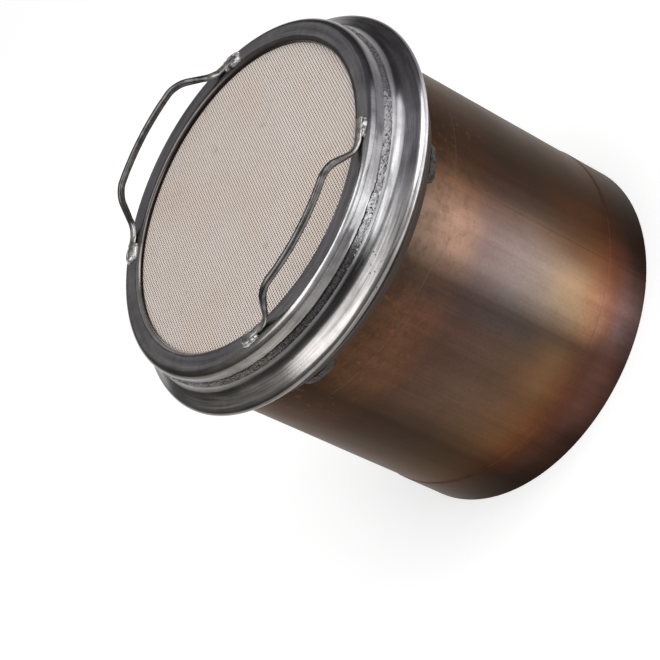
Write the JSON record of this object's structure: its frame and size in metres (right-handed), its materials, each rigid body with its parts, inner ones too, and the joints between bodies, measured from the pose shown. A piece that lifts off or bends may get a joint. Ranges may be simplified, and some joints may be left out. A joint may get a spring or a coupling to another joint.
{
  "type": "diesel particulate filter",
  "caption": "Round steel exhaust filter canister with a ceramic honeycomb core, a pressed clamp flange near the inlet and lifting handles on the inlet rim.",
  "frame": {"origin": "centre of the outlet edge, on the surface that the filter stands on", "axes": "+Z along the can's axis from outlet to inlet, handles on the -Y and +Y sides of the inlet rim"},
  "size_m": [0.36, 0.36, 0.3472],
  "materials": {
    "can": "heat-tinted stainless sheet, bronze to straw to purple, fine scuffs round the can",
    "seam": "flush lengthwise weld",
    "flange": "bright pressed stainless sheet with dark streaks",
    "collar": "satin charcoal grey steel",
    "weld": "rough dark weld bead",
    "bright_weld": "bright rippled weld bead",
    "handle": "dark drawn steel rod, glossy",
    "core": "matt porous ceramic, square cells plugged in a check pattern",
    "mat": "pressed ceramic fibre mat",
    "seal": "knitted wire"
  },
  "bodies": {
    "root": {"can_shell": "can", "can_seam_weld": "seam", "clamp_flange": "flange", "inlet_collar": "collar", "collar_weld": "weld", "stitch_weld_1": "weld", "stitch_weld_2": "weld", "stitch_weld_3": "weld", "stitch_weld_4": "weld", "stitch_weld_5": "weld", "front_handle": "handle", "back_handle": "handle", "handle_weld_1": "bright_weld", "handle_weld_2": "bright_weld", "handle_weld_3": "bright_weld", "handle_weld_4": "bright_weld", "filter_core": "core", "support_mat": "mat", "inlet_seal": "seal", "outlet_seal": "seal", "outlet_ring": "collar"}
  },
  "joints": []
}
